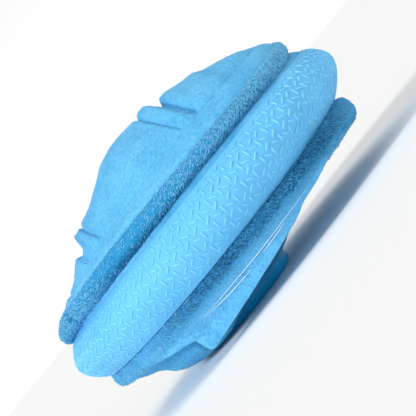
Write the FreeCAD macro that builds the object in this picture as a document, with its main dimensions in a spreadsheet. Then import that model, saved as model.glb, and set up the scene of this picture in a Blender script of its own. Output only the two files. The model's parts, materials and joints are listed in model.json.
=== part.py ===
import FreeCAD, Part
import math
import os
import re
import Sketcher

# Soft-cover practice puck, lying flat. Millimetres, +Z up.
# The origin is on the axis of the disc, on the face of the glide cap that it rests on.

SIZES = [
    ("rim_radius", 38.1, "outer radius of the tread band, half of a regulation puck's diameter"),
    ("mid_height", 17.4, "height of the rim's middle plane over the resting face"),
    ("rim_half_width", 5.25, "half of the tread band's width"),
    ("crown_radius", 5.5, "radius of the band's crowned outer face"),
    ("core_radius", 30.6, "radius of the core, and inner radius of the band"),
    ("bead_depth", 2.0, "how far the band's bead reaches into the core's groove"),
    ("bead_half_width", 2.2, "half of the bead's width"),
    ("weight_radius", 24.0, "radius of the steel weight"),
    ("weight_thickness", 6.0, "thickness of the steel weight"),
    ("weight_chamfer", 0.5, "chamfer on the weight's edges"),
    ("lid_thickness", 2.0, "thickness of the lid under the weight"),
    ("strip_outer", 34.0, "outer radius of a side strip"),
    ("strip_inner", 28.0, "inner radius of a side strip"),
    ("strip_thickness", 0.7, "thickness of a side strip"),
    ("roll_centre", 33.1, "radius of the circle that a hem's roll follows"),
    ("roll_offset", 7.9, "height of a roll's centre from the middle plane"),
    ("roll_radius", 1.9, "outer radius of a rolled hem"),
    ("roll_bore", 0.95, "radius of the space inside a rolled hem"),
    ("cord_radius", 0.9, "radius of the filler cord in a hem"),
    ("tail_inner", 27.0, "inner radius of a hem's flat tail"),
    ("tail_bottom", 6.05, "distance from the middle plane to the near face of a hem's tail"),
    ("tail_top", 7.0, "distance from the middle plane to the far face of a hem's tail"),
    ("thread_radius", 0.22, "radius of the sewing thread"),
    ("fabric", 1.0, "thickness of the cover fabric"),
    ("cover_radius", 31.1, "outer radius of the covers where they are sewn to the hems"),
    ("shoulder_start", 9.4, "height over the middle plane where the shoulder turns inwards"),
    ("crown_seam_radius", 27.9, "radius of the seam between shoulder and crown"),
    ("crown_seam_height", 13.0, "height of that seam over the middle plane"),
    ("crown_top", 22.8, "height of the crown over the middle plane"),
    ("crown_sphere", 44.6, "radius of the crown's arc"),
    ("pad_gap", 0.1, "gap between a pad and what is round it"),
    ("cap_shift", 8.0, "how far the glide cap lies off the axis, towards -X"),
    ("cap_radius", 12.0, "radius of the glide cap"),
    ("cap_thickness", 2.5, "thickness of the glide cap"),
    ("cap_rounding", 1.5, "radius of the cap's lower edge"),
    ("skirt_foot", 13.0, "outer radius of the lower cover where it meets the cap"),
    ("plate_radius", 10.0, "radius of the anchor plate"),
    ("plate_thickness", 1.4, "thickness of the anchor plate"),
    ("screw_circle", 7.0, "radius of the circle of cap screws"),
    ("screw_count", 3, "number of cap screws"),
    ("head_radius", 1.9, "radius of a screw head"),
    ("head_height", 1.3, "height of a screw head"),
    ("head_depth", 0.3, "how deep a screw head lies in the cap"),
    ("socket_radius", 0.9, "corner radius of a screw's hexagon socket"),
    ("shank_radius", 1.0, "radius of a screw's shank"),
    ("hole_gap", 0.1, "clearance round the screws in the cap and the cover"),
    ("flap_top_radius", 33.2, "outer radius of the flap at its sewn edge"),
    ("flap_foot_radius", 30.2, "outer radius of the flap at the height of its lowest point"),
    ("flap_foot", 1.0, "height over the resting face of the flap's lowest point"),
    ("flap_left", 20.0, "how far the flap reaches to -X"),
    ("flap_slope", 6.3, "slope of the flap's straight edge in degrees"),
    ("flap_edge_height", 4.1, "height over the resting face of the flap's edge below the axis"),
    ("flap_side", 4.0, "how far the flap's ends stay in front of the axis"),
]
ALIASES = {alias for alias, _, _ in SIZES}

doc = FreeCAD.newDocument("practice_puck")
pieces = []


def make_sheet():
    """The driving dimensions, one to a row: alias, value and meaning."""
    sheet = doc.addObject("Spreadsheet::Sheet", "Sizes")
    for row, (alias, value, meaning) in enumerate(SIZES, start=1):
        sheet.set(f"A{row}", alias)
        sheet.set(f"B{row}", str(value))
        sheet.set(f"C{row}", meaning)
        sheet.setAlias(f"B{row}", alias)
    doc.recompute()
    return sheet


sheet = make_sheet()


def bound(text):
    """The expression that reads each named size from the sheet."""
    return re.sub(r"[a-z_]+", lambda word: "Sizes." + word[0] if word[0] in ALIASES else word[0], text)


def number(text):
    return float(sheet.evalExpression(bound(text)))


def above(offset):
    return f"mid_height + ({offset})"


def below(offset):
    return f"mid_height - ({offset})"


def keep(piece, label):
    """Names a finished sub-part and puts it in the list that is written out."""
    piece.Label = label
    pieces.append(piece)
    return piece


def new_body(name):
    return doc.addObject("PartDesign::Body", name + "_body")


def plane_of(body, role):
    return next(item for item in body.Origin.OriginFeatures if item.Role == role)


def new_sketch(body, name, role):
    sketch = body.newObject("Sketcher::SketchObject", name)
    sketch.AttachmentSupport = (plane_of(body, role), [""])
    sketch.MapMode = "FlatFace"
    return sketch


def pin_point(sketch, edge, point, name, across, up):
    """Holds a point of the sketch at a distance across and up, each given as a sheet expression."""
    for kind, text in (("DistanceX", across), ("DistanceY", up)):
        if kind == "DistanceX" and text == "0":
            sketch.addConstraint(Sketcher.Constraint("PointOnObject", edge, point, -2))
            continue
        index = sketch.addConstraint(Sketcher.Constraint(kind, -1, 1, edge, point, number(text)))
        sketch.renameConstraint(index, f"{name}_{kind}")
        sketch.setExpression(f"Constraints.{name}_{kind}", bound(text))


def pin_radius(sketch, edge, name, text):
    index = sketch.addConstraint(Sketcher.Constraint("Radius", edge, number(text)))
    sketch.renameConstraint(index, name)
    sketch.setExpression(f"Constraints.{name}", bound(text))


def arc_between(start, end, radius):
    """A counterclockwise arc of less than half a turn from start to end."""
    chord = end - start
    middle = start + chord * 0.5
    inwards = FreeCAD.Vector(-chord.y, chord.x, 0).normalize()
    centre = middle + inwards * math.sqrt(radius**2 - (chord.Length / 2) ** 2)
    through = centre + (middle - centre).normalize() * radius
    return Part.Arc(start, through, end)


def outline(sketch, corners, arcs):
    """A closed counterclockwise outline. arcs gives an edge's radius by the number of its first corner."""
    points = [FreeCAD.Vector(number(across), number(up), 0) for across, up in corners]
    for index, start in enumerate(points):
        end = points[(index + 1) % len(points)]
        if index in arcs:
            sketch.addGeometry(arc_between(start, end, number(arcs[index])), False)
        else:
            sketch.addGeometry(Part.LineSegment(start, end), False)
    for index, (across, up) in enumerate(corners):
        following = (index + 1) % len(points)
        sketch.addConstraint(Sketcher.Constraint("Coincident", index, 2, following, 1))
        pin_point(sketch, index, 1, f"corner_{index}", across, up)
    for index, text in arcs.items():
        pin_radius(sketch, index, f"arc_{index}", text)


def turned(label, corners, arcs=None):
    """A piece turned about the puck's axis from its half section of (radius, height) corners."""
    body = new_body(label)
    sketch = new_sketch(body, label + "_section", "XZ_Plane")
    outline(sketch, corners, arcs or {})
    doc.recompute()
    turn = body.newObject("PartDesign::Revolution", label + "_turn")
    turn.Profile = sketch
    turn.ReferenceAxis = (sketch, ["V_Axis"])
    turn.Angle = 360
    doc.recompute()
    return keep(body, label)


def circle_sketch(body, name, radius, height, centre="0", turn=None):
    """A circle on a level plane. centre is its place along X."""
    sketch = new_sketch(body, name, "XY_Plane")
    sketch.addGeometry(Part.Circle(FreeCAD.Vector(0, 0, 0), FreeCAD.Vector(0, 0, 1), number(radius)), False)
    sketch.addConstraint(Sketcher.Constraint("Coincident", 0, 3, -1, 1))
    pin_radius(sketch, 0, "radius", radius)
    sketch.setExpression("AttachmentOffset.Base.x", bound(centre))
    sketch.setExpression("AttachmentOffset.Base.z", bound(height))
    doc.recompute()
    return sketch


def pad(body, sketch, length):
    feature = body.newObject("PartDesign::Pad", sketch.Name + "_pad")
    feature.Profile = sketch
    feature.setExpression("Length", bound(length))
    doc.recompute()
    return feature


def pocket(body, sketch, length):
    """Cuts upwards from the sketch, and stops if nothing was cut."""
    before = body.Shape.Volume
    feature = body.newObject("PartDesign::Pocket", sketch.Name + "_pocket")
    feature.Profile = sketch
    feature.Reversed = True
    feature.setExpression("Length", bound(length))
    doc.recompute()
    if body.Shape.Volume > before - 1e-6:
        raise RuntimeError(f"{feature.Name} cut nothing")


def loft(body, kind, name, lower, upper):
    feature = body.newObject(kind, name)
    feature.Profile = lower
    feature.Sections = [upper]
    feature.Ruled = True
    doc.recompute()


def cylinder(name, radius, height, base):
    shape = doc.addObject("Part::Cylinder", name)
    shape.setExpression("Radius", bound(radius))
    shape.setExpression("Height", bound(height))
    shape.setExpression("Placement.Base.z", bound(base))
    return shape


def ring_of_wire(name, ring, tube, height):
    """A torus about the puck's axis."""
    shape = doc.addObject("Part::Torus", name)
    shape.setExpression("Radius1", bound(ring))
    shape.setExpression("Radius2", bound(tube))
    shape.setExpression("Placement.Base.z", bound(height))
    return shape


def boolean(kind, name, base, tool):
    feature = doc.addObject(kind, name)
    feature.Base = base
    feature.Tool = tool
    doc.recompute()
    return feature


# Rim


def tread_band():
    """The crowned band, with a bead that sits in the core's groove."""
    edge = "rim_radius - crown_radius + sqrt(crown_radius * crown_radius - rim_half_width * rim_half_width)"
    corners = [
        (edge, below("rim_half_width")),
        (edge, above("rim_half_width")),
        ("core_radius", above("rim_half_width")),
        ("core_radius", above("bead_half_width")),
        ("core_radius - bead_depth", above("bead_half_width")),
        ("core_radius - bead_depth", below("bead_half_width")),
        ("core_radius", below("bead_half_width")),
        ("core_radius", below("rim_half_width")),
    ]
    turned("tread_band", corners, {0: "crown_radius"})


def core_disc():
    """The moulded core: a groove for the band's bead, and a pocket for the weight and its lid."""
    roof = below("rim_half_width - weight_thickness - lid_thickness")
    corners = [
        ("weight_radius", below("rim_half_width")),
        ("core_radius", below("rim_half_width")),
        ("core_radius", below("bead_half_width")),
        ("core_radius - bead_depth", below("bead_half_width")),
        ("core_radius - bead_depth", above("bead_half_width")),
        ("core_radius", above("bead_half_width")),
        ("core_radius", above("rim_half_width")),
        ("0", above("rim_half_width")),
        ("0", roof),
        ("weight_radius", roof),
    ]
    turned("core_disc", corners)


def weight_disc():
    body = new_body("weight_disc")
    base = circle_sketch(body, "weight_face", "weight_radius", below("rim_half_width - lid_thickness"))
    disc = pad(body, base, "weight_thickness")
    chamfer = body.newObject("PartDesign::Chamfer", "weight_chamfer_edges")
    edges = enumerate(disc.Shape.Edges, start=1)
    chamfer.Base = (disc, [f"Edge{n}" for n, edge in edges if edge.Curve.TypeId == "Part::GeomCircle"])
    chamfer.setExpression("Size", bound("weight_chamfer"))
    doc.recompute()
    keep(body, "weight_disc")


def core_lid():
    keep(cylinder("core_lid", "weight_radius", "lid_thickness", below("rim_half_width")), "core_lid")


def side_strip(label, near, far):
    """A flat strip on the band's side face, between two heights."""
    corners = [("strip_inner", near), ("strip_outer", near), ("strip_outer", far), ("strip_inner", far)]
    turned(label, corners)


# Hems


def rolled_hem(label, centre, tail_base):
    """A fleece strip rolled round its filler cord, with a flat tail that is sewn in."""
    roll = ring_of_wire(label + "_roll", "roll_centre", "roll_radius", centre)
    bore = ring_of_wire(label + "_bore", "roll_centre", "roll_bore", centre)
    outer = cylinder(label + "_tail_outer", "roll_centre", "tail_top - tail_bottom", tail_base)
    inner = cylinder(label + "_tail_inner", "tail_inner", "tail_top - tail_bottom", tail_base)
    tail = boolean("Part::Cut", label + "_tail", outer, inner)
    solid = boolean("Part::Fuse", label + "_solid", roll, tail)
    keep(boolean("Part::Cut", label, solid, bore), label)


def hems():
    rolled_hem("upper_hem", above("roll_offset"), above("tail_bottom"))
    rolled_hem("lower_hem", below("roll_offset"), below("tail_top"))
    for side, place in (("upper", above), ("lower", below)):
        cord = ring_of_wire(side + "_cord", "roll_centre", "cord_radius", place("roll_offset"))
        keep(cord, side + "_hem_cord")
        seam = place("shoulder_start + thread_radius")
        thread = ring_of_wire(side + "_thread", "cover_radius + thread_radius", "thread_radius", seam)
        keep(thread, side + "_hem_thread")


def lower_edge_beading():
    height = below("rim_half_width + thread_radius")
    beading = ring_of_wire("edge_beading", "strip_outer + thread_radius", "thread_radius", height)
    keep(beading, "lower_edge_beading")


# Upper side


def shoulder_panel():
    """The flatter fabric zone between the hem and the crown."""
    corners = [
        ("cover_radius", above("tail_top")),
        ("cover_radius", above("shoulder_start")),
        ("crown_seam_radius", above("crown_seam_height")),
        ("crown_seam_radius - fabric", above("crown_seam_height - fabric / 2")),
        ("cover_radius - fabric", above("shoulder_start - fabric / 2")),
        ("cover_radius - fabric", above("tail_top")),
    ]
    turned("shoulder_panel", corners)


def sphere(name, radius):
    """A ball whose top is level with the crown's arc at the axis."""
    shape = doc.addObject("Part::Sphere", name)
    shape.setExpression("Radius", bound(radius))
    shape.setExpression("Placement.Base.z", bound(above("crown_top - crown_sphere")))
    return shape


def crown_cover():
    """The domed fabric cover inside the shoulder, cut from a hollow ball."""
    outer = sphere("crown_outer", "crown_sphere")
    inner = sphere("crown_inner", "crown_sphere - fabric")
    shell = boolean("Part::Cut", "crown_shell", outer, inner)
    disc = cylinder("crown_disc", "crown_seam_radius - fabric", "crown_sphere", "mid_height")
    keep(boolean("Part::Common", "crown_dome", shell, disc), "crown_cover")


def crown_seam_thread():
    seam = ring_of_wire(
        "crown_thread",
        "crown_seam_radius - fabric / 2",
        "thread_radius",
        above("crown_seam_height + thread_radius"),
    )
    keep(seam, "crown_seam_thread")


def upper_pad():
    """Foam that fills the space under the shoulder and the crown."""
    floor = above("rim_half_width + pad_gap")
    ledge = above("tail_top + pad_gap")
    side = "cover_radius - fabric - pad_gap"
    waist = "tail_inner - pad_gap"
    corners = [
        ("0", floor),
        (waist, floor),
        (waist, ledge),
        (side, ledge),
        (side, above("shoulder_start - fabric / 2 - pad_gap")),
        ("crown_seam_radius - fabric - pad_gap", above("crown_seam_height - fabric / 2 - pad_gap")),
        ("crown_seam_radius - fabric - pad_gap", above("crown_top")),
        ("0", above("crown_top")),
    ]
    block = turned("upper_pad_block", corners)
    pieces.remove(block)
    ball = sphere("upper_pad_ball", "crown_sphere - fabric - pad_gap")
    keep(boolean("Part::Common", "upper_pad_dome", block, ball), "upper_pad")


# Lower side


def skirt_wall(body, name, kind, top_radius, foot_radius, foot_height):
    """A slanting cone between the hem and the cap, added to or taken from a body."""
    foot = circle_sketch(body, name + "_foot", foot_radius, foot_height, "-cap_shift")
    top = circle_sketch(body, name + "_top", top_radius, below("shoulder_start"))
    loft(body, kind, name, foot, top)


def lower_cover():
    """The fabric skirt: a collar at the hem, and a slanting cone closed by a floor at the cap."""
    body = new_body("lower_cover")
    skirt_wall(body, "skirt", "PartDesign::AdditiveLoft", "cover_radius", "skirt_foot", "cap_thickness")
    collar = circle_sketch(body, "collar", "cover_radius", below("shoulder_start"))
    pad(body, collar, "shoulder_start - tail_top")
    inner_radius = "cover_radius - fabric"
    inner_floor = "cap_thickness + fabric"
    inner_foot = "skirt_foot - fabric"
    skirt_wall(body, "hollow", "PartDesign::SubtractiveLoft", inner_radius, inner_foot, inner_floor)
    throat = circle_sketch(body, "throat", inner_radius, below("shoulder_start"))
    pocket(body, throat, "shoulder_start - tail_top")
    screw_holes(body, "cover_holes", "shank_radius + hole_gap", "cap_thickness", "fabric")
    keep(body, "lower_cover")


def screw_holes(body, name, radius, base, depth):
    """A round hole at each cap screw."""
    for index in range(number_of_screws()):
        sketch = new_sketch(body, f"{name}_{index}", "XY_Plane")
        sketch.addGeometry(Part.Circle(FreeCAD.Vector(), FreeCAD.Vector(0, 0, 1), number(radius)), False)
        sketch.addConstraint(Sketcher.Constraint("Coincident", 0, 3, -1, 1))
        pin_radius(sketch, 0, "radius", radius)
        across, forward = screw_place(index)
        sketch.setExpression("AttachmentOffset.Base.x", bound(across))
        sketch.setExpression("AttachmentOffset.Base.y", bound(forward))
        sketch.setExpression("AttachmentOffset.Base.z", bound(base))
        doc.recompute()
        pocket(body, sketch, depth)


def number_of_screws():
    return int(number("screw_count"))


def screw_place(index):
    """Where a cap screw stands: its X and Y as sheet expressions."""
    angle = f"360 * {index} / screw_count"
    return f"screw_circle * cos({angle}) - cap_shift", f"screw_circle * sin({angle})"


def lower_pad():
    """Foam between the core and the lower cover, with a recess for the anchor plate."""
    body = new_body("lower_pad")
    foot = "cap_thickness + fabric + pad_gap"
    waist = "cover_radius - fabric - pad_gap"
    skirt_wall(body, "filling", "PartDesign::AdditiveLoft", waist, "skirt_foot - fabric - 2 * pad_gap", foot)
    middle = circle_sketch(body, "middle", waist, below("shoulder_start"))
    pad(body, middle, "shoulder_start - tail_top - pad_gap")
    neck = circle_sketch(body, "neck", "tail_inner - pad_gap", below("tail_top + pad_gap"))
    pad(body, neck, "tail_top - rim_half_width")
    recess = circle_sketch(body, "recess", "plate_radius + pad_gap", foot, "-cap_shift")
    pocket(body, recess, "plate_thickness + pad_gap")
    keep(body, "lower_pad")


def anchor_plate():
    """The plate inside the cover that the cap screws bite into."""
    body = new_body("anchor_plate")
    base = circle_sketch(body, "plate", "plate_radius", "cap_thickness + fabric", "-cap_shift")
    pad(body, base, "plate_thickness")
    screw_holes(body, "plate_holes", "shank_radius", "cap_thickness + fabric", "plate_thickness")
    keep(body, "anchor_plate")


def glide_cap():
    """The smooth cap that the puck slides on, with a counterbored hole for each screw."""
    body = new_body("glide_cap")
    base = circle_sketch(body, "cap", "cap_radius", "0", "-cap_shift")
    disc = pad(body, base, "cap_thickness")
    rounding = body.newObject("PartDesign::Fillet", "cap_edge")
    lowest = min(range(len(disc.Shape.Edges)), key=lambda n: disc.Shape.Edges[n].BoundBox.ZMax)
    rounding.Base = (disc, [f"Edge{lowest + 1}"])
    rounding.setExpression("Radius", bound("cap_rounding"))
    doc.recompute()
    screw_holes(body, "cap_holes", "shank_radius + hole_gap", "0", "cap_thickness")
    screw_holes(body, "counterbores", "head_radius + hole_gap", "0", "head_depth + head_height")
    keep(body, "glide_cap")


def cap_screw(index):
    """One screw: a round head with a hexagon socket, and a shank."""
    across, forward = screw_place(index)
    shank_base = "head_depth + head_height"
    head = cylinder(f"screw_head_{index}", "head_radius", "head_height", "head_depth")
    shank_length = "cap_thickness + fabric + plate_thickness - head_depth - head_height"
    shank = cylinder(f"screw_shank_{index}", "shank_radius", shank_length, shank_base)
    socket = doc.addObject("Part::Prism", f"screw_socket_{index}")
    socket.Polygon = 6
    socket.setExpression("Circumradius", bound("socket_radius"))
    socket.setExpression("Height", bound("head_height / 2"))
    socket.setExpression("Placement.Base.z", bound("head_depth"))
    for solid in (head, shank, socket):
        solid.setExpression("Placement.Base.x", bound(across))
        solid.setExpression("Placement.Base.y", bound(forward))
    blank = boolean("Part::Fuse", f"screw_blank_{index}", head, shank)
    return boolean("Part::Cut", f"screw_{index}", blank, socket)


def cap_screws():
    group = doc.addObject("Part::Compound", "screw_group")
    group.Links = [cap_screw(index) for index in range(number_of_screws())]
    doc.recompute()
    keep(group, "cap_screws")


def cone(name, top_radius, foot_radius):
    """A cone from the flap's foot up to the bottom of the hem's roll."""
    shape = doc.addObject("Part::Cone", name)
    shape.setExpression("Radius1", bound(foot_radius))
    shape.setExpression("Radius2", bound(top_radius))
    shape.setExpression("Height", bound(below("roll_offset + roll_radius + flap_foot")))
    shape.setExpression("Placement.Base.z", bound("flap_foot"))
    return shape


def lower_flap():
    """The loose fabric flap in front, with its straight slanting lower edge."""
    outer = cone("flap_outer", "flap_top_radius", "flap_foot_radius")
    inner = cone("flap_inner", "flap_top_radius - fabric", "flap_foot_radius - fabric")
    shell = boolean("Part::Cut", "flap_shell", outer, inner)
    wedge = doc.addObject("Part::Box", "flap_wedge")
    wedge.setExpression("Length", bound("2 * rim_radius"))
    wedge.setExpression("Width", bound("rim_radius"))
    wedge.setExpression("Height", bound("mid_height"))
    wedge.setExpression("Placement.Base.x", bound("-flap_left"))
    wedge.setExpression("Placement.Base.y", bound("-rim_radius - flap_side"))
    wedge.setExpression("Placement.Base.z", bound("flap_edge_height - flap_left * tan(flap_slope)"))
    wedge.Placement.Rotation = FreeCAD.Rotation(FreeCAD.Vector(0, -1, 0), number("flap_slope"))
    wedge.setExpression("Placement.Rotation.Angle", bound("flap_slope"))
    keep(boolean("Part::Common", "flap", shell, wedge), "lower_flap")


def build():
    tread_band()
    core_disc()
    weight_disc()
    core_lid()
    side_strip("upper_side_strip", above("rim_half_width"), above("rim_half_width + strip_thickness"))
    side_strip("lower_side_strip", below("rim_half_width + strip_thickness"), below("rim_half_width"))
    hems()
    lower_edge_beading()
    shoulder_panel()
    crown_cover()
    crown_seam_thread()
    upper_pad()
    lower_cover()
    lower_pad()
    anchor_plate()
    glide_cap()
    cap_screws()
    lower_flap()
    doc.recompute()


def check():
    """Stops on any object that failed, and on any sub-part without a valid solid."""
    for item in doc.Objects:
        if "Invalid" in item.State or "Error" in item.State:
            raise RuntimeError(f"{item.Label} failed: {item.State}")
    for piece in pieces:
        shape = piece.Shape
        if shape.isNull() or not shape.isValid() or not shape.Solids:
            raise RuntimeError(f"{piece.Label} has no valid solid")
        box = shape.BoundBox
        heights = f"z {box.ZMin:6.2f} to {box.ZMax:6.2f}"
        print(f"{piece.Label:20} {len(shape.Solids)} solid(s) {shape.Volume:9.1f} mm3  {heights}")


def write():
    os.makedirs("parts", exist_ok=True)
    for piece in pieces:
        piece.Shape.exportStep(f"parts/{piece.Label}.step")


build()
check()
write()
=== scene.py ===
import json
import math
import bpy
import numpy as np
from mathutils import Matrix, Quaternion, Vector, noise

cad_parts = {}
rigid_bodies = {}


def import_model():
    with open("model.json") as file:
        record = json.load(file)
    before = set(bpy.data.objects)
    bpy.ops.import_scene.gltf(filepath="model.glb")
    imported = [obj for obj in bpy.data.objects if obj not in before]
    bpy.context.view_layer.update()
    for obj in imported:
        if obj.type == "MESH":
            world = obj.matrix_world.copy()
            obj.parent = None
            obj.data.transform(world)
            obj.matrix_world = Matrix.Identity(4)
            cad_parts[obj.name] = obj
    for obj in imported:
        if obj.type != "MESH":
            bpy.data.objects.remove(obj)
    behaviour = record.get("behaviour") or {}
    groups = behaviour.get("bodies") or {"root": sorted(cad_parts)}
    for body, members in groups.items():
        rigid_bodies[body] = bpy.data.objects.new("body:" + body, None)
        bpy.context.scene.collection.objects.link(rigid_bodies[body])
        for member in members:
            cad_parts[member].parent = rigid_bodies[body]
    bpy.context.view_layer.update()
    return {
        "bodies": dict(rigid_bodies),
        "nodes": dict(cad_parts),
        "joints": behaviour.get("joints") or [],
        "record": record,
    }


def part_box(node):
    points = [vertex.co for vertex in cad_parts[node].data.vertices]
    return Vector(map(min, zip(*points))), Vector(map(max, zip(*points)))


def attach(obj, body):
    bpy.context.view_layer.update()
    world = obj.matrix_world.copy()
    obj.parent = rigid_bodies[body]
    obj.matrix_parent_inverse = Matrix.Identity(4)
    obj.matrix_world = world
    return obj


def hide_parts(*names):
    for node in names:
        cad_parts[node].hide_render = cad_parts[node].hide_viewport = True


# Soft-cover practice puck. Lengths are in millimetres until a mesh is made, which is in metres.

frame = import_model()

MM = 0.001
BODY = "root"


def node_box(node):
    """A CAD node's lowest and highest corners, in millimetres."""
    low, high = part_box(node)
    return Vector(low) / MM, Vector(high) / MM


band_low, band_high = node_box("tread_band")
RIM = (band_high.x - band_low.x) / 2
MIDDLE = (band_high.z + band_low.z) / 2
HALF_WIDTH = (band_high.z - band_low.z) / 2
CAP_LOW, CAP_HIGH = node_box("glide_cap")
CAP_X = (CAP_LOW.x + CAP_HIGH.x) / 2
CAP_RADIUS = (CAP_HIGH.x - CAP_LOW.x) / 2
CAP_TOP = CAP_HIGH.z - MIDDLE


def put_in_scene(name, data):
    """A new object in the scene that holds a mesh, curve, camera or light."""
    thing = bpy.data.objects.new(name, data)
    bpy.context.collection.objects.link(thing)
    return thing


# Camera: almost level with the rim, slightly above it, and rolled.

CAMERA_DISTANCE = 345.0
CAMERA_RAISE = math.radians(0.95)
CAMERA_ROLL = math.radians(50.75)
FRAME_WIDTH = 79.25
AIM_X = 1.05
AIM_UP = 0.8
SENSOR = 36.0


def make_camera():
    data = bpy.data.cameras.new("camera")
    camera = put_in_scene("camera", data)
    target = Vector((AIM_X, 0, MIDDLE + AIM_UP)) * MM
    back = Vector((0, -math.cos(CAMERA_RAISE), math.sin(CAMERA_RAISE)))
    camera.location = target + back * CAMERA_DISTANCE * MM
    upright = (-back).to_track_quat("-Z", "Y")
    roll = Quaternion((0, 0, 1), -CAMERA_ROLL)
    camera.rotation_mode = "QUATERNION"
    camera.rotation_quaternion = upright @ roll
    data.sensor_width = SENSOR
    data.lens = SENSOR * CAMERA_DISTANCE / FRAME_WIDTH
    data.clip_start = 0.01
    data.clip_end = 20
    bpy.context.scene.camera = camera


make_camera()

# Mesh helpers


def turns(count):
    """Even angles all the way round."""
    return np.linspace(0, 2 * math.pi, count, endpoint=False)


def around(angle, radius, height):
    """Points at angles round the axis, from the front (-Y) towards +X. Heights are from the middle."""
    x, y, z = radius * np.sin(angle), -radius * np.cos(angle), np.asarray(height) + MIDDLE
    return np.stack(np.broadcast_arrays(x, y, z), axis=-1)


def grid_faces(rows, columns, close_rows=False, close_columns=False):
    """Quads over a grid of points that is numbered row by row."""
    row = np.arange(rows if close_rows else rows - 1)
    column = np.arange(columns if close_columns else columns - 1)
    row, column = np.meshgrid(row, column, indexing="ij")
    here, below = row * columns, (row + 1) % rows * columns
    right = (column + 1) % columns
    return np.stack([here + column, here + right, below + right, below + column], -1).reshape(-1, 4)


def tube_faces(rings, sides):
    """Quads round a tube of rings, with one face over each end."""
    faces = grid_faces(rings, sides, False, True).tolist()
    faces.append(list(range(sides))[::-1])
    faces.append([(rings - 1) * sides + side for side in range(sides)])
    return faces


def facing_out(points, faces):
    """Turns a grid's faces so that they look away from the middle of the puck."""
    corners = np.asarray(points).reshape(-1, 3)[faces]
    normal = np.cross(corners[:, 2] - corners[:, 0], corners[:, 3] - corners[:, 1])
    away = corners.mean(axis=1) - np.array([0, 0, MIDDLE])
    return faces if (normal * away).sum() > 0 else faces[:, ::-1]


def add_piece(name, points, faces, material, replaces):
    """A mesh piece from points in millimetres."""
    mesh = bpy.data.meshes.new(name)
    faces = faces.tolist() if isinstance(faces, np.ndarray) else faces
    mesh.from_pydata((np.asarray(points).reshape(-1, 3) * MM).tolist(), [], faces)
    mesh.update()
    piece = put_in_scene(name, mesh)
    mesh.materials.append(material)
    mesh.polygons.foreach_set("use_smooth", [True] * len(mesh.polygons))
    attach(piece, BODY)
    if replaces:
        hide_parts(*replaces)
    return piece


def rough(points, size, seed):
    """Smooth noise from -1 to 1 at each point, with features of about the given size."""
    flat = np.asarray(points).reshape(-1, 3)
    shift = Vector((seed * 17.3, seed * 5.1, seed * 9.7))
    values = [noise.noise(Vector(p) / size + shift) for p in flat]
    return np.array(values).reshape(np.asarray(points).shape[:-1])


def normals_of(points, close_rows=False, close_columns=False):
    """Unit normals of a grid of points, from its neighbours."""
    if close_rows:
        down = np.roll(points, -1, 0) - np.roll(points, 1, 0)
    else:
        down = np.gradient(points, axis=0)
    if close_columns:
        across = np.roll(points, -1, 1) - np.roll(points, 1, 1)
    else:
        across = np.gradient(points, axis=1)
    normal = np.cross(across, down)
    away = points - np.array([0, 0, MIDDLE])
    normal = normal if (normal * away).sum() > 0 else -normal
    return normal / np.maximum(np.linalg.norm(normal, axis=-1, keepdims=True), 1e-9)


def smoothstep(low, high, value):
    """A smooth rise from 0 at low to 1 at high."""
    x = np.clip((value - low) / (high - low), 0, 1)
    return x * x * (3 - 2 * x)


def bell(value, middle, width):
    """1 at the middle, and falling off over about the width."""
    return np.exp(-(((value - middle) / width) ** 2))


# Materials


def new_material(name):
    """A new material, with its node tree and its shader."""
    material = bpy.data.materials.new(name)
    material.use_nodes = True
    tree = material.node_tree
    return material, tree, tree.nodes["Principled BSDF"]


def link_noise(tree, scale, detail):
    """Noise fixed to the object."""
    coordinates = tree.nodes.new("ShaderNodeTexCoord")
    pattern = tree.nodes.new("ShaderNodeTexNoise")
    pattern.inputs["Scale"].default_value = scale
    pattern.inputs["Detail"].default_value = detail
    pattern.inputs["Roughness"].default_value = 0.6
    tree.links.new(coordinates.outputs["Object"], pattern.inputs["Vector"])
    return pattern.outputs["Fac"]


def link_ramp(tree, factor, stops):
    """A colour ramp from (place, colour) stops."""
    ramp = tree.nodes.new("ShaderNodeValToRGB")
    elements = ramp.color_ramp.elements
    while len(elements) < len(stops):
        elements.new(0.5)
    for element, (place, colour) in zip(elements, stops):
        element.position = place
        element.color = (*colour, 1)
    tree.links.new(factor, ramp.inputs["Fac"])
    return ramp.outputs["Color"]


def link_bump(tree, height, strength, distance):
    """Normals roughened by a height pattern. distance is in metres."""
    bump = tree.nodes.new("ShaderNodeBump")
    bump.inputs["Strength"].default_value = strength
    bump.inputs["Distance"].default_value = distance
    tree.links.new(height, bump.inputs["Height"])
    return bump.outputs["Normal"]


def link_fade(tree, value, first, last, most=1.0):
    """A smooth rise from 0 to most between two places."""
    fade = tree.nodes.new("ShaderNodeMapRange")
    fade.interpolation_type = "SMOOTHSTEP"
    fade.inputs["From Min"].default_value = first * MM
    fade.inputs["From Max"].default_value = last * MM
    fade.inputs["To Max"].default_value = most
    tree.links.new(value, fade.inputs["Value"])
    return fade.outputs["Result"]


def link_math(tree, operation, first, second):
    """Two values, each a number or a socket, put together by one operation."""
    node = tree.nodes.new("ShaderNodeMath")
    node.operation = operation
    for socket, value in zip(node.inputs, (first, second)):
        if isinstance(value, float):
            socket.default_value = value
        else:
            tree.links.new(value, socket)
    return node.outputs[0]


def linear(red, green, blue):
    """A display colour, 0 to 255, as the linear values that shaders take."""
    shares = [level / 255 for level in (red, green, blue)]
    return tuple(share / 12.92 if share <= 0.04045 else ((share + 0.055) / 1.055) ** 2.4 for share in shares)


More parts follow.
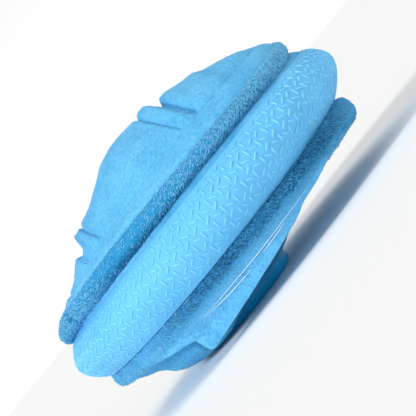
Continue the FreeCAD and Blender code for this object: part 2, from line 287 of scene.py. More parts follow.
def fabric_material(name, dark, light, grain, sheen, bump):
    """Brushed fabric: mottled colour at two scales, a fine nap in the bump, and sheen."""
    material, tree, shader = new_material(name)
    fine = link_noise(tree, grain, 5)
    broad = link_noise(tree, grain / 12, 3)
    mottle = link_math(
        tree, "ADD", link_math(tree, "MULTIPLY", broad, 0.35), link_math(tree, "MULTIPLY", fine, 0.65)
    )
    tree.links.new(link_ramp(tree, mottle, [(0.32, dark), (0.66, light)]), shader.inputs["Base Color"])
    tree.links.new(link_bump(tree, fine, bump, 0.0002), shader.inputs["Normal"])
    shader.inputs["Roughness"].default_value = 0.95
    shader.inputs["Sheen Weight"].default_value = sheen
    shader.inputs["Sheen Roughness"].default_value = 0.5
    shader.inputs["Sheen Tint"].default_value = (*linear(190, 228, 250), 1)
    shader.inputs["Specular IOR Level"].default_value = 0.15
    return material


def shade_painted_fabric(name, shade_colour, outer, heights, ends, grain):
    """Fabric with painted shade and light: over its mottling, its colour goes from shade_colour, painted
    shade beside the band, to outer, the lit colour, between two heights.

    Each of ends gives two places along X between which it goes to outer as well, as painted light at those
    ends.
    """
    material = fabric_material(name, shade_colour, outer, grain, 0.08, 0.5)
    tree = material.node_tree
    shader = tree.nodes["Principled BSDF"]
    mottled = shader.inputs["Base Color"].links[0].from_socket
    coordinates = tree.nodes.new("ShaderNodeTexCoord")
    split = tree.nodes.new("ShaderNodeSeparateXYZ")
    tree.links.new(coordinates.outputs["Object"], split.inputs[0])
    lit = link_fade(tree, split.outputs["Z"], *heights)
    for end in ends:
        lit = link_math(tree, "MAXIMUM", lit, link_fade(tree, split.outputs["X"], *end, 0.9))
    blend = tree.nodes.new("ShaderNodeMix")
    blend.data_type = "RGBA"
    blend.inputs["Factor"].default_value = 0.6
    level = link_ramp(tree, lit, [(0.0, shade_colour), (1.0, outer)])
    tree.links.new(mottled, blend.inputs["A"])
    tree.links.new(level, blend.inputs["B"])
    tree.links.new(blend.outputs["Result"], shader.inputs["Base Color"])
    return material


def rubber_material(name, dark, light, roughness=0.55):
    """Moulded rubber: nearly even colour, a fine skin texture, and a satin gloss that varies."""
    material, tree, shader = new_material(name)
    broad = link_noise(tree, 120, 4)
    skin = link_noise(tree, 5200, 3)
    tree.links.new(link_ramp(tree, broad, [(0.3, dark), (0.7, light)]), shader.inputs["Base Color"])
    level = tree.nodes.new("ShaderNodeMapRange")
    level.inputs["To Min"].default_value = roughness - 0.07
    level.inputs["To Max"].default_value = roughness + 0.1
    tree.links.new(skin, level.inputs["Value"])
    tree.links.new(level.outputs["Result"], shader.inputs["Roughness"])
    tree.links.new(link_bump(tree, skin, 0.12, 0.00008), shader.inputs["Normal"])
    shader.inputs["Specular IOR Level"].default_value = 0.25
    return material


BAND_BLUE = rubber_material("band_rubber", linear(96, 184, 234), linear(108, 194, 243))
# The dashes' blue is lighter than the band's: a painted highlight on the raised dashes, as if lit.
DASH_HIGHLIGHT_BLUE = rubber_material("tread_dash", linear(118, 204, 246), linear(130, 212, 250))
STRIP_BLUE = rubber_material("strip_rubber", linear(60, 152, 206), linear(110, 194, 238), 0.7)
KNIT = fabric_material("knit", linear(64, 160, 212), linear(116, 202, 247), 1500, 0.12, 0.9)
# The lower cover's knit is a darker copy of the knit: painted shade, as that cover faces down towards the
# floor.
KNIT_PAINTED_SHADE = fabric_material("knit_painted_shade", linear(58, 154, 208), linear(106, 196, 244), 1500, 0.1, 0.9)
KNIT_NAP = fabric_material("knit_nap", linear(88, 176, 226), linear(120, 202, 246), 1700, 0.3, 0.2)
THREAD = fabric_material("thread", linear(128, 206, 248), linear(160, 222, 254), 6000, 0.3, 0.3)
LINT = fabric_material("lint", linear(190, 226, 248), linear(232, 246, 255), 3000, 0.6, 0.1)
CAP_BLUE = rubber_material("cap_plastic", linear(0, 146, 208), linear(4, 166, 226), 0.4)

# Painted shade and light: the fleece's ground under its strands is painted darker than the strands, as shade
# in the pile. Both are painted darker beside the band, where the band shades them, and lighter where the roll
# turns out and at both ends along X, where they are lit.
UPPER_PAINTED_SHADE = (MIDDLE + 6.2, MIDDLE + 8.3)
LOWER_PAINTED_SHADE = (MIDDLE - 7.4, MIDDLE - 9.9)
UPPER_PAINTED_LIGHT_ENDS = ((-10.0, -28.0), (18.0, 30.0))
LOWER_PAINTED_LIGHT_ENDS = ((-10.0, -28.0), (23.0, 34.0))
UPPER = (UPPER_PAINTED_SHADE, UPPER_PAINTED_LIGHT_ENDS)
LOWER = (LOWER_PAINTED_SHADE, LOWER_PAINTED_LIGHT_ENDS)
FLEECE_UPPER = shade_painted_fabric("fleece_upper", linear(0, 46, 92), linear(44, 150, 206), *UPPER, 1700)
STRANDS_UPPER = shade_painted_fabric("strands_upper", linear(14, 136, 192), linear(134, 214, 254), *UPPER, 2200)
FLEECE_LOWER = shade_painted_fabric("fleece_lower", linear(0, 40, 86), linear(84, 178, 232), *LOWER, 1700)
STRANDS_LOWER = shade_painted_fabric("strands_lower", linear(16, 140, 196), linear(122, 208, 252), *LOWER, 2200)
# The flap's knit carries the same painted shade: darker at its top next to the hem, under the band, and
# lighter lower down and at both ends.
FLAP_KNIT = shade_painted_fabric("flap_knit", linear(0, 100, 156), linear(108, 196, 245), *LOWER, 1700)


def plain_variant(name, dark, light, roughness, metallic=0.0, scale=900):
    """A finish for the inner parts: slightly mottled, with a fine bump."""
    material, tree, shader = new_material(name)
    pattern = link_noise(tree, scale, 4)
    tree.links.new(link_ramp(tree, pattern, [(0.3, dark), (0.7, light)]), shader.inputs["Base Color"])
    tree.links.new(link_bump(tree, pattern, 0.25, 0.0002), shader.inputs["Normal"])
    shader.inputs["Roughness"].default_value = roughness
    shader.inputs["Metallic"].default_value = metallic
    return material


CORE_BLACK = plain_variant("core_rubber", (0.012, 0.013, 0.015), (0.03, 0.032, 0.036), 0.7)
STEEL = plain_variant("turned_steel", (0.42, 0.43, 0.45), (0.62, 0.63, 0.65), 0.32, 1.0, 2500)
CORD = plain_variant("filler_cord", (0.55, 0.6, 0.66), (0.82, 0.85, 0.88), 0.9, 0.0, 2400)
INNER_PLASTIC = plain_variant("inner_plastic", (0.03, 0.035, 0.04), (0.06, 0.065, 0.075), 0.5)

# Shape of the object all round. side is the sine of the angle: -1 at the -X end, 0 in front and at the
# back, and 1 at the +X end.


def band_top(side):
    return HALF_WIDTH + 0.05 + 0.2 * side + 0.4 * side**3


def band_foot(side):
    return -HALF_WIDTH - 0.15 + 0.35 * side**2 + 0.6 * side - 0.85 * side**3


def band_radius(side, height):
    """The band's crown. At +X it is widest a little above the middle, and leans in under that."""
    widest = 0.6 + 0.8 * side
    off = height - widest * smoothstep(-0.6, 1, side)
    drop = 0.15 + 0.035 * side**2 - 0.03 * side * np.tanh(off)
    return RIM - drop * np.abs(off) ** 1.85


def drift(angle, values):
    """Smooth values all round: given at even angles from -X through the front, +X and the back."""
    count = len(values)
    place = (np.asarray(angle) + math.pi / 2) / (2 * math.pi) * count
    index = np.floor(place).astype(int)
    part = place - index
    a, b, c, d = (np.take(values, (index + k) % count) for k in (-1, 0, 1, 2))
    return b + 0.5 * part * (c - a + part * (2 * a - 5 * b + 4 * c - d + part * (3 * (b - c) + d - a)))


UPPER_ROLL_HEIGHT = [5.95, 7.4, 7.9, 8.1, 8.05, 8.2, 9.5, 8.9, 8.2, 8.0, 7.8, 7.2]
UPPER_ROLL_HALF = [1.6, 1.9, 2.0, 1.8, 1.72, 1.9, 1.7, 1.8, 1.8, 1.8, 1.8, 1.8]
UPPER_ROLL_OUTER = [35.8, 35.8, 35.3, 34.9, 34.6, 34.4, 33.9, 34.2, 34.5, 34.8, 35.1, 35.7]
LOWER_ROLL_HEIGHT = [-6.6, -7.0, -7.3, -7.6, -7.6, -7.4, -7.3, -7.4, -7.6, -7.6, -7.5, -7.0]
LOWER_ROLL_OUTER = [35.4, 35.0, 34.7, 34.6, 34.4, 34.0, 33.6, 34.0, 34.4, 34.7, 34.8, 35.1]
SHOULDER_SEAM_RADIUS = [27.4, 27.8, 28.4, 28.6, 28.8, 29.6, 30.6, 29.6, 28.8, 28.6, 28.4, 27.8]
SHOULDER_SEAM_HEIGHT = [10.4, 10.8, 12.0, 12.8, 12.9, 12.8, 13.1, 12.8, 12.8, 12.8, 12.2, 11.4]

# Rim: the band and its raised dashes


def band_point(angle, along_band, lift):
    """A point on the band's face: along_band is from -1 at the lower edge to 1 at the upper one."""
    side = np.sin(angle)
    middle = (band_top(side) + band_foot(side)) / 2
    height = middle + along_band * (band_top(side) - band_foot(side)) / 2
    return around(angle, band_radius(side, height) + lift, height)


def tread_band():
    columns = 480
    angle = turns(columns)
    side = np.sin(angle)
    rows = []
    for along in np.sin(np.linspace(-math.pi / 2, math.pi / 2, 61)):
        spots = [Vector((math.sin(turn) * 4, math.cos(turn) * 4, along * 1.5)) for turn in angle]
        wave = 0.03 * np.array([noise.noise(spot) for spot in spots])
        rows.append(band_point(angle, along, wave))
    core = node_box("core_disc")[1].x
    top, foot = band_top(side), band_foot(side)
    for inset, lift in ((0.12, 0.1), (0.35, 0.12)):
        rows.append(around(angle, band_radius(side, top) - inset, top + lift))
    rows.append(around(angle, core, HALF_WIDTH + 0.03))
    rows.append(around(angle, core, -HALF_WIDTH - 0.03))
    for inset, lift in ((0.35, 0.12), (0.12, 0.1)):
        rows.append(around(angle, band_radius(side, foot) - inset, foot - lift))
    points = np.stack(rows)
    faces = grid_faces(len(rows), columns, True, True)
    add_piece("tread_band", points, faces, BAND_BLUE, ["tread_band"])


# The net of dashes has this many cells round the rim. SLIDE is how far each dash moves from its place in the
# net, PLAIN_EDGE is left bare at each edge of the band, and BEND is how fast the net closes up towards them.
CELL_COUNT = 43
DASH_LENGTH = 1.56
DASH_WIDTH = 0.37
DASH_HEIGHT = 0.24
SLIDE = 0.27
PLAIN_EDGE = 0.28
BEND = 5.55
UPRIGHT = np.array([0.0, 1.0])
FALLING = np.array([-0.866, 0.5])
RISING = np.array([-0.866, -0.5])


def dash_places():
    """Dashes in a kagome net, in three directions, with the direction of each along its length.

    Every dash slides along its own length and along one of the others', by turns one way and the other.
    """
    cell = 2 * math.pi * RIM / CELL_COUNT
    step = np.array([cell / 2, 0.0])
    rise = np.array([cell / 4, -0.48 * cell])
    start = np.array([0.01 * cell, 0.8 * cell])
    for column in range(2 * CELL_COUNT):
        for row in range(-1, 5):
            place = start + column * step + row * rise
            by_column, by_row = (-1) ** column, (-1) ** row
            both = by_column * by_row
            yield place + SLIDE * (by_column * UPRIGHT + by_row * RISING), UPRIGHT
            yield place + step / 2 + SLIDE * (by_row * FALLING - both * UPRIGHT), FALLING
            yield place + rise / 2 + SLIDE * (both * RISING + by_column * FALLING), RISING


def dash_shape():
    """A bar with round ends and a round back, as unit-sphere points pulled out to the dash's length."""
    rings, sides = 9, 8
    points = []
    for ring in range(rings):
        polar = math.pi * (ring + 0.5) / rings
        for side in range(sides):
            turn = 2 * math.pi * side / sides
            across, up = (math.copysign(abs(part) ** 0.6, part) for part in (math.cos(turn), math.sin(turn)))
            points.append((math.cos(polar), math.sin(polar) ** 0.8 * across, math.sin(polar) ** 0.8 * up))
    points = np.array(points)
    half = DASH_WIDTH / 2
    way = np.sign(points[:, 0]) * (np.abs(points[:, 0]) > 0.05)
    along = points[:, 0] * half + way * (DASH_LENGTH / 2 - half)
    return np.stack([along, points[:, 1] * half, points[:, 2] * DASH_HEIGHT], -1), tube_faces(rings, sides)


def tread_dashes():
    """The raised dashes. One that would cross the band's edge is shortened."""
    shape, shape_faces = dash_shape()
    points, faces = [], []
    reach = HALF_WIDTH - PLAIN_EDGE
    for (along, up), (cosine, sine) in dash_places():
        height = BEND * math.sin(max(-1.5, min(1.5, up / BEND)))
        if abs(height) > reach:
            continue
        spread = abs(sine) * DASH_LENGTH / 2
        fade = min(1.0, max(0.3, (reach - abs(height)) / max(spread, 0.3)))
        x = shape[:, 0] * fade
        local_along = along + x * cosine - shape[:, 1] * sine
        local_up = (height + (x * sine + shape[:, 1] * cosine) * math.cos(up / BEND)) / HALF_WIDTH
        first = len(points) * len(shape)
        points.append(band_point(local_along / RIM, local_up, shape[:, 2]))
        faces.extend([[first + i for i in face] for face in shape_faces])
    add_piece("tread_dashes", np.concatenate(points), faces, DASH_HIGHLIGHT_BLUE, ())


def beads(name, node, line, count, size):
    """Small beads in a row along a line that is given as a function of the angle."""
    rings, sides = 5, 6
    polar = np.linspace(0.35, math.pi - 0.35, rings)[:, None]
    turn = turns(sides)[None, :]
    x, y, z = np.sin(polar) * np.cos(turn), np.sin(polar) * np.sin(turn), np.cos(polar) + 0 * turn
    ball = np.stack([x, y, z], -1).reshape(-1, 3) * size
    faces = tube_faces(rings, sides)
    places = line(turns(count))
    points = places[:, None, :] + ball[None]
    all_faces = [[first * len(ball) + i for i in face] for first in range(count) for face in faces]
    add_piece(name, points, all_faces, BAND_BLUE, node)


def edge_beading():
    """The rows of small dots along the band's two edges."""

    def foot(angle):
        side = np.sin(angle)
        return around(angle, band_radius(side, band_foot(side)) - 0.05, band_foot(side) - 0.04)

    def top(angle):
        side = np.sin(angle)
        return around(angle, band_radius(side, band_top(side)) - 0.1, band_top(side) + 0.05)

    beads("lower_edge_beading", ["lower_edge_beading"], foot, 640, 0.15)
    beads("upper_edge_beading", [], top, 640, 0.11)


def side_strip(sign, name, roll_height, roll_half, roll_outer):
    """The strip between the band's edge and the hem's roll."""
    rows, columns = 14, 480
    share = np.linspace(0, 1, rows)[:, None]
    angle = turns(columns)[None, :]
    side = np.sin(angle)
    edge = band_top(side) if sign > 0 else band_foot(side)
    outer = band_radius(side, edge) - 0.3
    far = roll_height(angle) - sign * (roll_half(angle) - 0.7)
    inner = roll_outer(angle) - 1.7
    radius = outer + (inner - outer) * share + 0.25 * np.sin(math.pi * share)
    height = edge + (far - edge) * share
    surface = around(angle + 0 * share, radius, height)
    surface += 0.05 * rough(surface, 1.2, 20)[..., None]
    faces = facing_out(surface, grid_faces(rows, columns, False, True))
    thicken(add_piece(name, surface, faces, STRIP_BLUE, [name]), 0.5)


def thicken(piece, thickness):
    """Gives a sheet its thickness, inwards."""
    modifier = piece.modifiers.new("thickness", "SOLIDIFY")
    modifier.thickness = thickness * MM
    modifier.offset = -1


# Strands: fine closed curls that make fleece and nap


def strand_mesh(roots, normals, along, lengths, lifts, widths, bends):
    """Three-sided curls, each from its root along a direction, lifted in the middle like a loop of yarn."""
    side = np.cross(normals, along)
    spine = []
    for s in (0.0, 0.25, 0.5, 0.75, 1.0):
        forward = along * (lengths * (s - 0.5))[:, None]
        lift = normals * (lifts * 4 * s * (1 - s) - 0.06)[:, None]
        sideways = side * (bends * math.sin(math.pi * s))[:, None]
        spine.append(roots + forward + lift + sideways)
    rings = [spine[0][:, None, :]]
    for index in (1, 2, 3):
        corners = []
        for corner in range(3):
            turn = 2 * math.pi * corner / 3
            outwards = side * math.cos(turn) + normals * math.sin(turn)
            corners.append(spine[index] + outwards * widths[:, None])
        rings.append(np.stack(corners, 1))
    rings.append(spine[4][:, None, :])
    points = np.concatenate(rings, axis=1)
    faces = []
    for corner in range(3):
        after = (corner + 1) % 3
        faces.append([0, 1 + after, 1 + corner])
        faces.append([10, 7 + corner, 7 + after])
        for ring in (1, 4):
            faces.append([ring + corner, ring + after, ring + 3 + after])
            faces.append([ring + corner, ring + 3 + after, ring + 3 + corner])
    offsets = np.arange(len(roots))[:, None, None] * 11
    return points.reshape(-1, 3), (np.array(faces)[None] + offsets).reshape(-1, 3)


def strands_on(name, surface, wraps, count, seed, look, size, spread, comb=0.0, weight=1.0):
    """Scatters strands over a grid surface.

    look is their material and a slot name, which is not used, and size their length, lift and width.
    comb is their mean direction off the grid's rows in radians, a number or one for each grid point.
    weight makes them denser where it is larger.
    """
    length, lift, width = size
    rng = np.random.default_rng(seed)
    rows, columns = surface.shape[:2]
    normal_grid = normals_of(surface, *wraps)
    across_grid = np.roll(surface, -1, 1) - surface if wraps[1] else np.gradient(surface, axis=1)
    down_grid = np.roll(surface, -1, 0) - surface if wraps[0] else np.gradient(surface, axis=0)
    share = np.linalg.norm(np.cross(across_grid, down_grid), axis=-1)
    share = (share * weight).reshape(-1)
    pick = rng.choice(rows * columns, count, p=share / share.sum())
    across = across_grid.reshape(-1, 3)[pick]
    down = down_grid.reshape(-1, 3)[pick]
    roots = surface.reshape(-1, 3)[pick] + across * rng.uniform(-0.5, 0.5, (count, 1))
    roots = roots + down * rng.uniform(-0.5, 0.5, (count, 1))
    normal = normal_grid.reshape(-1, 3)[pick]
    across = across / np.maximum(np.linalg.norm(across, axis=1, keepdims=True), 1e-9)
    turn = np.broadcast_to(comb, (rows, columns)).reshape(-1)[pick] + rng.normal(0, spread, count)
    along = across * np.cos(turn)[:, None] + np.cross(normal, across) * np.sin(turn)[:, None]
    lengths = length * rng.uniform(0.6, 1.4, count)
    lifts = lift * rng.uniform(0.3, 1.5, count)
    widths = width * rng.uniform(0.7, 1.3, count)
    bends = lengths * rng.normal(0, 0.22, count)
    points, faces = strand_mesh(roots, normal, along, lengths, lifts, widths, bends)
    material, slot = look
    add_piece(name, points, faces, material, ())


# Hems

ROLL_COLUMNS = 720
ROLL_ROWS = 40
ROLL_DEPTH = 1.9


def roll_grid(height, half, outer):
    """A rolled hem's surface, lumpy as rolled fleece is."""
    angle = turns(ROLL_COLUMNS)[None, :]
    turn = turns(ROLL_ROWS)[:, None]
    out, up = (np.sign(part) * np.abs(part) ** 0.85 for part in (np.cos(turn), np.sin(turn)))
    radius = outer(angle) - ROLL_DEPTH + ROLL_DEPTH * out
    surface = around(angle + 0 * turn, radius, height(angle) + half(angle) * up)
    outward = around(angle + 0 * turn, out + 0 * angle, up - MIDDLE + 0 * angle)
    lumps = 0.16 * rough(surface, 2.6, 2) + 0.1 * rough(surface, 0.8, 6)
    return surface + outward * lumps[..., None]


def upper_height(angle):
    return drift(angle, UPPER_ROLL_HEIGHT)


def upper_half(angle):
    return drift(angle, UPPER_ROLL_HALF)


TIP_CREASE = math.radians(-58)


def upper_outer(angle):
    """The upper hem's outer radius, with a narrow crease near its -X tip."""
    tip_crease = 1.2 * np.exp(-((2 * np.sin((angle - TIP_CREASE) / 2) / 0.024) ** 2))
    return drift(angle, UPPER_ROLL_OUTER) - tip_crease


def lower_height(angle):
    return drift(angle, LOWER_ROLL_HEIGHT)


def lower_half(angle):
    return 2.1 + 0.2 * np.sin(angle)


def lower_outer(angle):
    return drift(angle, LOWER_ROLL_OUTER)


def hem(name, height, half, outer, material, weight, count, seed, strands):
    """A padded fleece hem, with its strands in two pieces."""
    surface = roll_grid(height, half, outer)
    faces = grid_faces(ROLL_ROWS, ROLL_COLUMNS, True, True)[:, ::-1]
    piece = add_piece(name, surface, faces, material, [name])
    for part in range(2):
        part_name = f"{name}_strands_{part}"
        strands_on(part_name, surface, (True, True), count, seed + part, weight=weight, **strands)


def hems():
    """Both hems. Their strands are densest on the outside of the roll."""
    turn, angle = turns(ROLL_ROWS)[:, None], turns(ROLL_COLUMNS)[None, :]
    outside = smoothstep(-0.3, 0.6, np.cos(turn)) + 0 * angle
    front = -np.sin(angle)
    under = smoothstep(0.1, 0.8, -np.sin(turn))
    comb = 0.55 + 0.7 * np.sin(angle) + 0.9 * under * smoothstep(-0.2, 0.5, front)
    bare = 0.8 * smoothstep(0.6, 0.9, np.cos(angle)) * smoothstep(-0.3, 0.4, front)
    upper_weight = (0.25 + outside) * (1 - bare)
    upper = {"look": (STRANDS_UPPER, "fleece"), "size": (0.75, 0.12, 0.058), "spread": 0.4, "comb": comb}
    lower = {"look": (STRANDS_LOWER, "fleece"), "size": (0.75, 0.14, 0.07), "spread": 0.6, "comb": -0.5}
    hem("upper_hem", upper_height, upper_half, upper_outer, FLEECE_UPPER, upper_weight, 10500, 50, upper)
    hem("lower_hem", lower_height, lower_half, lower_outer, FLEECE_LOWER, 0.15 + outside, 7500, 60, lower)


def hem_cord(name, height, outer):
    """The twisted filler cord inside a hem."""
    columns, rows = 900, 18
    angle = turns(columns)[None, :]
    turn = turns(rows)[:, None]
    bulge = 0.75 + 0.08 * np.abs(np.sin(1.5 * turn + 60 * angle))
    radius = outer(angle) - ROLL_DEPTH + bulge * np.cos(turn)
    surface = around(angle + 0 * turn, radius, height(angle) + bulge * np.sin(turn))
    faces = grid_faces(rows, columns, True, True)[:, ::-1]
    add_piece(name, surface, faces, CORD, [name])


def hem_thread(name, height, half, outer, sign):
    """The seam line on a hem: short light stitches lying along it."""
    count = 560
    rng = np.random.default_rng(7 + sign)
    angle = turns(count) + rng.uniform(-0.003, 0.003, count)
    radius = outer(angle) - 1.0
    roots = around(angle, radius, height(angle) + sign * (half(angle) * 0.93 + rng.normal(0, 0.06, count)))
    along = around(angle + 0.01, radius, height(angle + 0.01)) - around(angle, radius, height(angle))
    along = along / np.linalg.norm(along, axis=1, keepdims=True)
    normal = around(angle, 0.5, sign * 0.86 - MIDDLE)
    lengths = rng.uniform(0.35, 0.55, count)
    lifts, widths = np.full(count, 0.16), np.full(count, 0.06)
    points, faces = strand_mesh(roots, normal, along, lengths, lifts, widths, rng.normal(0, 0.04, count))
    add_piece(name, points, faces, THREAD, [name])


# Upper covers

# The crown's outline along X, as (x, height).
RIDGE = [
    (-27.4, 11.0), (-24.0, 12.5), (-20.0, 14.4), (-15.6, 17.1), (-12.8, 18.1), (-9.0, 19.7), (-5.3, 21.5),
    (-1.5, 22.3), (5.3, 21.7), (11.2, 20.75), (17.4, 19.3), (21.0, 17.6), (25.0, 16.1), (28.0, 14.7),
    (30.6, 13.2),
]
# Folds across the crown, as (place along the ridge, rise or fall).
LEFT_FOLDS = [
    (-24.6, 0.0), (-23.6, 0.25), (-22.4, 0.3), (-20.9, -0.85), (-19.7, -0.75), (-19.4, 1.5), (-18.6, 1.25),
    (-17.6, 0.75), (-17.15, -0.3), (-16.7, 0.45), (-15.0, 0.15), (-13.5, 0.0),
]
RIGHT_FOLDS = [
    (4.4, 0.0), (5.0, -0.2), (5.4, -1.0), (5.8, 0.05), (6.3, 0.65), (7.7, 0.95), (8.3, 0.5), (9.4, -1.35),
    (10.1, -1.6), (10.6, -0.7), (11.2, 0.1), (12.6, 0.35), (14.5, 0.1), (16.5, 0.0), (18.5, 0.35),
    (20.2, -0.1), (22.0, 0.0),
]
# How far the creases lean along X on their way to the seam.
LEFT_LEAN = 3.0
RIGHT_LEAN = 4.7
CROWN_REACH = 28.7


def smooth_line(x, line, blur):
    """A line through given points with its corners rounded over about blur."""
    places, heights = zip(*line)
    count = 600
    fine = np.linspace(places[0], places[-1], count)
    half = max(1, int(blur / (places[-1] - places[0]) * count / 2))
    padded = np.pad(np.interp(fine, places, heights), half, mode="edge")
    kernel = np.hanning(2 * half + 3)[1:-1]
    return np.interp(x, fine, np.convolve(padded, kernel / kernel.sum(), "valid"))


def crown_surface(angle, share):
    """A point on the crown: share runs from 0 at its middle to 1 at the seam."""
    seam_radius = drift(angle, SHOULDER_SEAM_RADIUS)
    seam_height = drift(angle, SHOULDER_SEAM_HEIGHT)
    radius = seam_radius * share
    x, y = radius * np.sin(angle), -radius * np.cos(angle)
    left, right = SHOULDER_SEAM_RADIUS[0], SHOULDER_SEAM_RADIUS[6]
    squeezed = np.where(x < 0, x / left, x / right)
    half_chord = CROWN_REACH * np.sqrt(np.maximum(1 - squeezed**2, 0.0004))
    out = np.clip(np.abs(y) / half_chord, 0, 1)
    base = seam_height + (smooth_line(x, RIDGE, 2.5) - seam_height) * (1 - out**2.3)
    front = np.where(y < 0, 1.0, 0.4) * (np.abs(y) / CROWN_REACH) ** 2.3
    faded = 1 - smoothstep(0.92, 0.995, share)
    base = base + smooth_line(x - 0.35 - LEFT_LEAN * front, LEFT_FOLDS, 0.3) * faded
    base = base + smooth_line(x - RIGHT_LEAN * front, RIGHT_FOLDS, 0.4) * faded
    return radius, base


def upper_surface(angle, share):
    """The upper cover: the crown up to share 1, then the shoulder, which runs on to the hem at share 2."""
    radius, height = crown_surface(angle, np.minimum(share, 1))
    seam_radius, seam_height = crown_surface(angle, 1 + 0 * share)
    inner_radius, inner_height = crown_surface(angle, 0.985 + 0 * share)
    hem_radius = upper_outer(angle) - 1.75 + 0.6 * smoothstep(0.6, 0.95, np.sin(angle))
    hem_height = upper_height(angle) + upper_half(angle) - 0.25
    run = np.hypot(hem_radius - seam_radius, hem_height - seam_height)
    slope_length = np.hypot(seam_radius - inner_radius, seam_height - inner_height)
    lead_radius = seam_radius + (seam_radius - inner_radius) / slope_length * run * 0.42
    lead_height = seam_height + (seam_height - inner_height) / slope_length * run * 0.42
    late_radius = hem_radius - 0.1
    late_height = hem_height + run * (0.3 - 0.12 * smoothstep(0.4, 0.9, -np.sin(angle)))
    part = np.clip(share - 1, 0, 1)
    rest = 1 - part
    weights = (rest**3, 3 * rest**2 * part, 3 * rest * part**2, part**3)
    radii = (seam_radius, lead_radius, late_radius, hem_radius)
    heights = (seam_height, lead_height, late_height, hem_height)
    radius = np.where(share > 1, sum(weight * place for weight, place in zip(weights, radii)), radius)
    height = np.where(share > 1, sum(weight * place for weight, place in zip(weights, heights)), height)
    right = smoothstep(0.3, 0.55, np.sin(angle)) * smoothstep(0.08, 0.4, np.cos(angle))
    left = smoothstep(0.2, 0.7, -np.sin(angle))
    height = height - 0.75 * right * bell(share, 1.0, 0.024)
    height = height + 0.4 * right * bell(share, 0.93, 0.04)
    for place, depth in ((1.12, 0.35), (1.4, 0.25)):
        height = height - depth * left * bell(share, place, 0.05)
    surface = around(angle, radius, height)
    surface[..., 2] += 0.12 * rough(surface, 3.5, 2) + 0.035 * rough(surface, 0.6, 3)
    return surface


def upper_piece(name, first, last, rows, replaces, shift=None):
    """A ring of the upper cover between two shares, moved by a grid of shifts where there is one."""
    columns = 500
    share = np.linspace(first, last, rows)[:, None]
    angle = turns(columns)[None, :]
    surface = upper_surface(angle + 0 * share, share + 0 * angle)
    if shift is not None:
        surface = surface + read_grid(shift, surface[..., 0], surface[..., 1])
    faces = facing_out(surface, grid_faces(rows, columns, False, True))
    piece = add_piece(name, surface, faces, KNIT, replaces)
    thicken(piece, 0.8)
    return piece, surface


# The cloth's grid has this many points each way and reaches this far from the axis. CLOTH_GROW takes
# millimetres to the run's units, and CLOTH_TRAVEL is the most that a point may move.
CLOTH_SIDE = 84
CLOTH_SPAN = 31.5
CLOTH_FRAMES = 14
CLOTH_GROW = 0.01
CLOTH_TRAVEL = 0.4


def cloth_shift():
    """How far the padding pushes the crown's fabric out, as a grid over x and y, from a run of cloth.

    The run is made ten times as large as the object, held along the seam, without gravity.
    """
    line = np.linspace(-CLOTH_SPAN, CLOTH_SPAN, CLOTH_SIDE)
    x, y = np.meshgrid(line, line)
    angle = np.arctan2(x, -y)
    share = np.hypot(x, y) / drift(angle, SHOULDER_SEAM_RADIUS)
    surface = upper_surface(angle, np.minimum(share, 1))
    inside = (share < 1).reshape(-1)
    faces = grid_faces(CLOTH_SIDE, CLOTH_SIDE)
    faces = facing_out(surface, faces[inside[faces].all(axis=1)])
    mesh = bpy.data.meshes.new("cloth_run")
    mesh.from_pydata((surface.reshape(-1, 3) * CLOTH_GROW).tolist(), [], faces.tolist())
    sheet = put_in_scene("cloth_run", mesh)
    held = sheet.vertex_groups.new(name="held")
    held.add(np.flatnonzero((share > 0.93).reshape(-1)).tolist(), 1.0, "ADD")
    cloth = sheet.modifiers.new("cloth", "CLOTH")
    settings = cloth.settings
    settings.vertex_group_mass = "held"
    settings.quality = 6
    settings.mass = 0.3
    settings.bending_stiffness = 1.5
    settings.use_pressure = True
    settings.uniform_pressure_force = 16
    settings.effector_weights.gravity = 0
    cloth.collision_settings.use_collision = False
    cloth.point_cache.frame_end = CLOTH_FRAMES
    for frame in range(1, CLOTH_FRAMES + 1):
        bpy.context.scene.frame_set(frame)
    blown = sheet.evaluated_get(bpy.context.evaluated_depsgraph_get()).data
    coordinates = np.empty(len(blown.vertices) * 3)
    blown.vertices.foreach_get("co", coordinates)
    bpy.context.scene.frame_set(1)
    bpy.data.objects.remove(sheet)
    shift = coordinates.reshape(surface.shape) / CLOTH_GROW - surface
    travel = np.linalg.norm(shift, axis=-1, keepdims=True)
    return shift * np.minimum(1, CLOTH_TRAVEL / np.maximum(travel, 1e-9))


def read_grid(grid, x, y):
    """Values of a square grid over x and y at given places, blended between its points."""
    column = np.clip((x / CLOTH_SPAN + 1) / 2 * (CLOTH_SIDE - 1), 0, CLOTH_SIDE - 1.001)
    row = np.clip((y / CLOTH_SPAN + 1) / 2 * (CLOTH_SIDE - 1), 0, CLOTH_SIDE - 1.001)
    left, low = column.astype(int), row.astype(int)
    right_part, high_part = (column - left)[..., None], (row - low)[..., None]
    near = grid[low, left] * (1 - right_part) + grid[low, left + 1] * right_part
    far = grid[low + 1, left] * (1 - right_part) + grid[low + 1, left + 1] * right_part
    return near * (1 - high_part) + far * high_part


NAP = {"look": (KNIT_NAP, "knit"), "size": (0.4, 0.07, 0.04), "spread": 3}


def crown():
    """The padded crown."""
    shift = cloth_shift()
    piece, surface = upper_piece("crown_cover", 0.001, 1, 96, ["crown_cover", "upper_pad"], shift)
    strands_on("crown_nap", surface, (False, True), 11000, 3, **NAP)


def shoulder():
    _, surface = upper_piece("shoulder_panel", 1, 2, 40, ["shoulder_panel"])
    strands_on("shoulder_nap", surface, (False, True), 7000, 4, **NAP)


